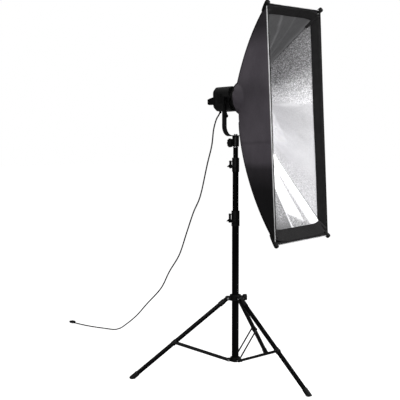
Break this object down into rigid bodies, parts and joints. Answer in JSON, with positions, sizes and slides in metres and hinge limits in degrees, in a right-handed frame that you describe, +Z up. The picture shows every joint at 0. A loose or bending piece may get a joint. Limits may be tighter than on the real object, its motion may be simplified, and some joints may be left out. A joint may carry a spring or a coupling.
{
  "type": "studio softbox",
  "caption": "Tall strip softbox with silver lining on a yoke-mounted LED lamp head with mains lead, carried by a folding telescopic light stand.",
  "frame": {"origin": "on the floor, at the middle of the object's footprint without its mains lead; the column stands at x -0.0557, y 0.0795", "axes": "+Z up along the column, -Y the way the lamp and the open front of the softbox face, +X to the far side of the box"},
  "size_m": [0.9123, 2.1879, 1.831],
  "materials": {
    "black_anodised_tube": "satin black anodised",
    "black_moulded": "fine-textured moulded black",
    "black_rubber": "matt",
    "black_steel": "powder-coated black",
    "zinc_steel": "bright zinc",
    "grey_bush": "smooth",
    "lamp_black": "fine-textured black",
    "cast_aluminium": "bead-blasted",
    "led_yellow": "phosphor gel on a white board",
    "display_glass": "gloss black",
    "outer_fabric": "coated black polyester",
    "silver_fabric": "pebbled silver",
    "black_webbing": "hook-and-loop and webbing",
    "cord_rubber": "smooth matt"
  },
  "bodies": {
    "column": {"lower_tube": "black_anodised_tube", "column_end_plug": "black_moulded", "lower_spider": "black_moulded", "spider_pins": "zinc_steel", "lower_collar": "black_moulded"},
    "lower_lever": {"lower_lock_lever": "black_moulded"},
    "middle_section": {"middle_tube": "black_anodised_tube", "middle_glide": "grey_bush", "upper_collar": "black_moulded"},
    "upper_lever": {"upper_lock_lever": "black_moulded"},
    "upper_section": {"upper_tube": "black_anodised_tube", "upper_glide": "grey_bush", "spigot": "zinc_steel"},
    "hub": {"leg_hub": "black_moulded", "hub_pins": "zinc_steel"},
    "hub_knob": {"hub_lock_knob": "black_moulded"},
    "yoke": {"receiver_socket": "black_steel", "yoke_bracket": "black_steel", "yoke_bolt": "zinc_steel", "mains_cord": "cord_rubber", "mains_plug": "cord_rubber"},
    "receiver_screw": {"receiver_knob": "black_moulded"},
    "lamp": {"lamp_housing": "lamp_black", "rear_cover": "black_moulded", "front_collar": "lamp_black", "led_module": "led_yellow", "heat_sink": "cast_aluminium", "fan_frame": "black_moulded", "pivot_bolt": "zinc_steel", "control_panel": "display_glass", "rear_handle": "black_moulded", "strain_relief": "cord_rubber", "ring_adapter": "cast_aluminium"},
    "fan": {"fan_rotor": "black_moulded"},
    "lever": {"tilt_lever": "black_moulded"},
    "latch": {"release_latch": "black_moulded"},
    "dial": {"brightness_dial": "black_moulded"},
    "button": {"mode_button": "black_rubber"},
    "rocker": {"power_rocker": "black_moulded"},
    "softbox": {"speedring": "black_steel", "rods": "zinc_steel", "top_panel": "outer_fabric", "bottom_panel": "outer_fabric", "near_panel": "outer_fabric", "far_panel": "outer_fabric", "silver_lining": "silver_fabric", "lip_bands": "black_webbing", "corner_pockets": "black_webbing"},
    "leg_1": {"leg_tube_1": "black_anodised_tube", "leg_fittings_1": "black_moulded", "foot_cap_1": "black_rubber"},
    "brace_arm_1": {"brace_1": "black_steel"},
    "leg_2": {"leg_tube_2": "black_anodised_tube", "leg_fittings_2": "black_moulded", "foot_cap_2": "black_rubber"},
    "brace_arm_2": {"brace_2": "black_steel"},
    "leg_3": {"leg_tube_3": "black_anodised_tube", "leg_fittings_3": "black_moulded", "foot_cap_3": "black_rubber"},
    "brace_arm_3": {"brace_3": "black_steel"}
  },
  "joints": [
    {"name": "hub_slide", "type": "slide", "parent": "column", "child": "hub", "axis": [0, 0, 1], "range_m": [0, 0.3195]},
    {"name": "leg_1_fold", "type": "hinge", "parent": "hub", "child": "leg_1", "pos_m": [-0.01759, 0.09166, 0.392], "axis": [-0.304, 0.9527, 0], "range_deg": [0, 50.2]},
    {"name": "brace_1_fold", "type": "hinge", "parent": "column", "child": "brace_arm_1", "pos_m": [-0.0195, 0.09105, 0.079], "axis": [0.304, -0.9527, 0], "range_deg": [0, 68.73]},
    {"name": "leg_2_fold", "type": "hinge", "parent": "hub", "child": "leg_2", "pos_m": [-0.08528, 0.10642, 0.392], "axis": [-0.673, -0.7396, 0], "range_deg": [0, 50.2]},
    {"name": "brace_2_fold", "type": "hinge", "parent": "column", "child": "brace_arm_2", "pos_m": [-0.08381, 0.10507, 0.079], "axis": [0.673, 0.7396, 0], "range_deg": [0, 68.73]},
    {"name": "leg_3_fold", "type": "hinge", "parent": "hub", "child": "leg_3", "pos_m": [-0.06422, 0.04042, 0.392], "axis": [0.977, -0.213, 0], "range_deg": [0, 50.2]},
    {"name": "brace_3_fold", "type": "hinge", "parent": "column", "child": "brace_arm_3", "pos_m": [-0.0638, 0.04237, 0.079], "axis": [-0.977, 0.213, 0], "range_deg": [0, 68.73]},
    {"name": "hub_knob_turn", "type": "hinge", "parent": "hub", "child": "hub_knob", "pos_m": [-0.0557, 0.0795, 0.395], "axis": [0.7396, -0.673, 0], "continuous": true},
    {"name": "lower_lever_flip", "type": "hinge", "parent": "column", "child": "lower_lever", "pos_m": [-0.07332, 0.10126, 0.79], "axis": [0, 0, -1], "range_deg": [0, 95]},
    {"name": "middle_slide", "type": "slide", "parent": "column", "child": "middle_section", "axis": [0, 0, 1], "range_m": [-0.19, 0.34]},
    {"name": "upper_lever_flip", "type": "hinge", "parent": "middle_section", "child": "upper_lever", "pos_m": [-0.07206, 0.09971, 1.06], "axis": [0, 0, -1], "range_deg": [0, 95]},
    {"name": "upper_slide", "type": "slide", "parent": "middle_section", "child": "upper_section", "axis": [0, 0, 1], "range_m": [-0.045, 0.36]},
    {"name": "yoke_pan", "type": "hinge", "parent": "upper_section", "child": "yoke", "pos_m": [-0.0557, 0.0795, 1.171], "axis": [0, 0, 1], "continuous": true},
    {"name": "receiver_knob_turn", "type": "hinge", "parent": "yoke", "child": "receiver_screw", "pos_m": [-0.0557, 0.0795, 1.171], "axis": [-0.9205, 0.3907, 0], "continuous": true},
    {"name": "head_tilt", "type": "hinge", "parent": "yoke", "child": "lamp", "pos_m": [-0.0557, 0.0795, 1.39], "axis": [-1, 0, 0], "range_deg": [-5, 75], "deforming": ["mains_cord"]},
    {"name": "tilt_lever_turn", "type": "hinge", "parent": "lamp", "child": "lever", "pos_m": [-0.1437, 0.0795, 1.39], "axis": [-1, 0, 0], "range_deg": [-45, 0]},
    {"name": "softbox_turn", "type": "hinge", "parent": "lamp", "child": "softbox", "pos_m": [-0.0557, 0.0795, 1.39], "axis": [0, -0.9995, 0.0314], "range_deg": [-90, 90]},
    {"name": "latch_slide", "type": "slide", "parent": "lamp", "child": "latch", "axis": [0, 0.9995, -0.0314], "range_m": [0, 0.004], "stiffness_N_per_m": 300},
    {"name": "fan_spin", "type": "hinge", "parent": "lamp", "child": "fan", "pos_m": [-0.0557, 0.12348, 1.38862], "axis": [0, 0.9995, -0.0314], "continuous": true},
    {"name": "dial_turn", "type": "hinge", "parent": "lamp", "child": "dial", "pos_m": [-0.0257, 0.16939, 1.38517], "axis": [0, 0.9995, -0.0314], "continuous": true},
    {"name": "button_press", "type": "slide", "parent": "lamp", "child": "button", "axis": [0, -0.9995, 0.0314], "range_m": [0, 0.0015], "stiffness_N_per_m": 400},
    {"name": "power_rock", "type": "hinge", "parent": "lamp", "child": "rocker", "pos_m": [-0.0257, 0.17633, 1.41497], "axis": [1, 0, 0], "range_deg": [-8, 8]}
  ],
  "couplings": [
    {"joint": "leg_1_fold", "follows": "hub_slide", "rad_per_m": 2.7423},
    {"joint": "brace_1_fold", "follows": "hub_slide", "rad_per_m": 3.7545},
    {"joint": "leg_2_fold", "follows": "hub_slide", "rad_per_m": 2.7423},
    {"joint": "brace_2_fold", "follows": "hub_slide", "rad_per_m": 3.7545},
    {"joint": "leg_3_fold", "follows": "hub_slide", "rad_per_m": 2.7423},
    {"joint": "brace_3_fold", "follows": "hub_slide", "rad_per_m": 3.7545}
  ]
}
